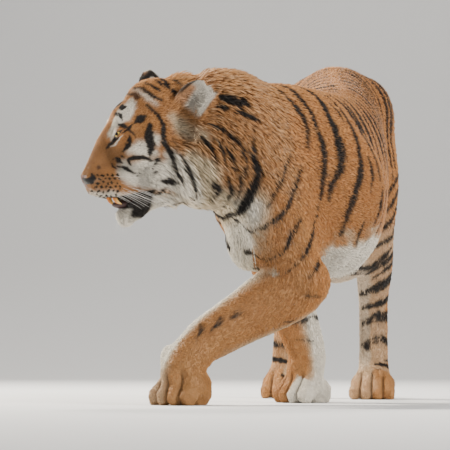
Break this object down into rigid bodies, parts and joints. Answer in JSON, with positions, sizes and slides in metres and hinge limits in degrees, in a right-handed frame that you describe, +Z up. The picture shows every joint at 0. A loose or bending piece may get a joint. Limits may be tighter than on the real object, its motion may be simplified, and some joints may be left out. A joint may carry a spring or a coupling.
{
  "type": "tiger",
  "caption": "Life-size tiger, walking with one foreleg reaching forward, its head low and turned to its right, its mouth a little open and its tail hanging in a curve.",
  "frame": {"origin": "middle of the tiger's box, on the floor", "axes": "+Z up, the tiger walks along -Y, its left side is at +X"},
  "size_m": [0.727, 2.0362, 1.0728],
  "materials": {
    "coat": "short dense fur, orange-brown with black stripes, white below",
    "eye": "wet, glossy, amber iris with a round black pupil"
  },
  "bodies": {
    "root": {"head": "coat", "lower_jaw": "coat", "eye_left": "eye", "eye_right": "eye", "neck": "coat", "trunk": "coat", "foreleg_left": "coat", "foreleg_right": "coat", "hindleg_left": "coat", "hindleg_right": "coat", "tail_root": "coat", "tail_middle": "coat", "tail_tip": "coat"}
  },
  "joints": []
}
